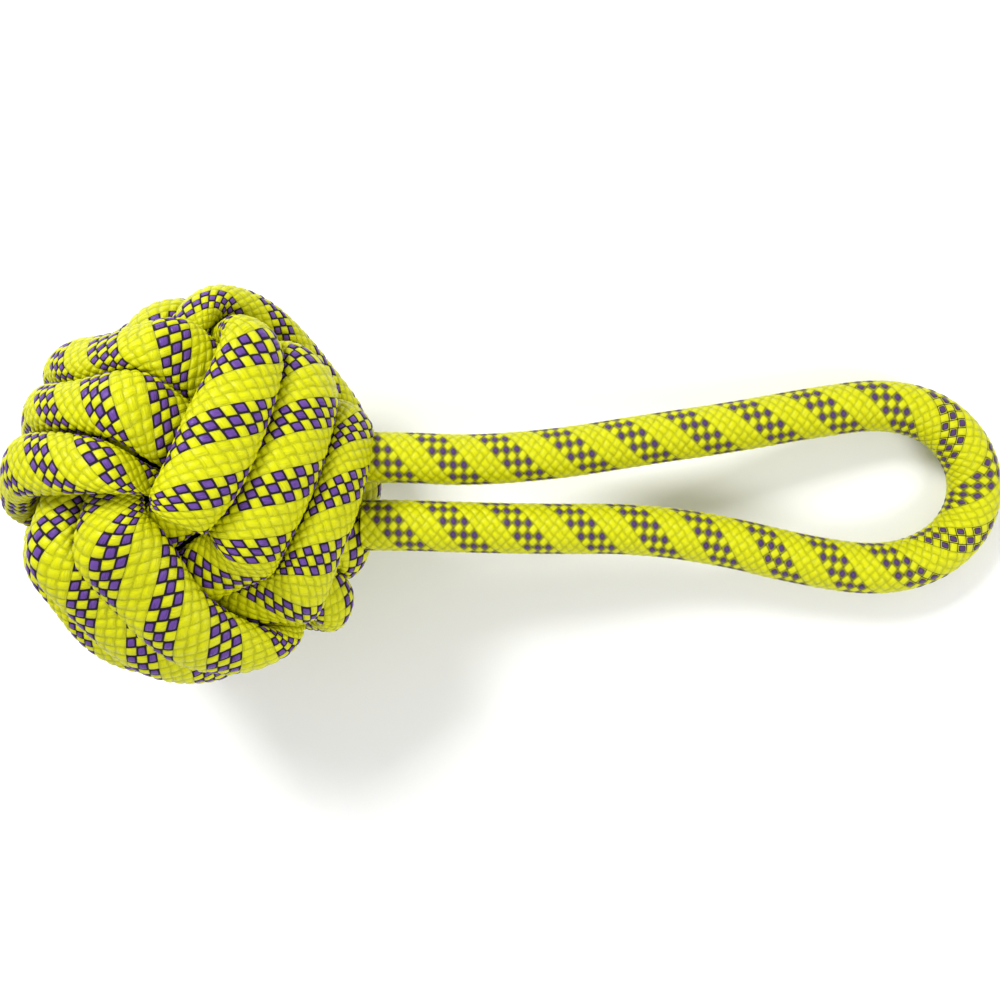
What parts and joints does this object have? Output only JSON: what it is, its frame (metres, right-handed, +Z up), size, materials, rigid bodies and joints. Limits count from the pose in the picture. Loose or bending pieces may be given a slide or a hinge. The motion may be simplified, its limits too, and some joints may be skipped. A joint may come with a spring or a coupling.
{
  "type": "rope ball with hand loop",
  "caption": "Ball knot of braided rope, wound as a monkey's fist round a core ball, with a hand loop of the same rope that bends where it leaves the knot.",
  "frame": {"origin": "middle of the footprint, on the floor that the toy lies on", "axes": "+X from the ball to the far end of the hand loop, +Z up, +Y across the loop"},
  "size_m": [0.2411, 0.0936, 0.0963],
  "materials": {
    "braided_rope": "glossy braided yarn, yellow-green with violet tracer yarns",
    "core_rubber": "plain foam rubber, hidden by the rope"
  },
  "bodies": {
    "ball_knot": {"core_ball": "core_rubber", "first_wrap_turn_1": "braided_rope", "first_wrap_turn_2": "braided_rope", "first_wrap_turn_3": "braided_rope", "second_wrap_turn_1": "braided_rope", "second_wrap_turn_2": "braided_rope", "second_wrap_turn_3": "braided_rope", "third_wrap_turn_1": "braided_rope", "third_wrap_turn_2": "braided_rope", "third_wrap_turn_3": "braided_rope", "upper_leg_root": "braided_rope", "lower_leg_root": "braided_rope"},
    "handle": {"hand_loop": "braided_rope"}
  },
  "joints": [
    {"name": "loop_bend", "type": "hinge", "parent": "ball_knot", "child": "handle", "pos_m": [-0.02176, -0.00105, 0.0366], "axis": [0, -1, 0], "range_deg": [-75, 75]}
  ]
}
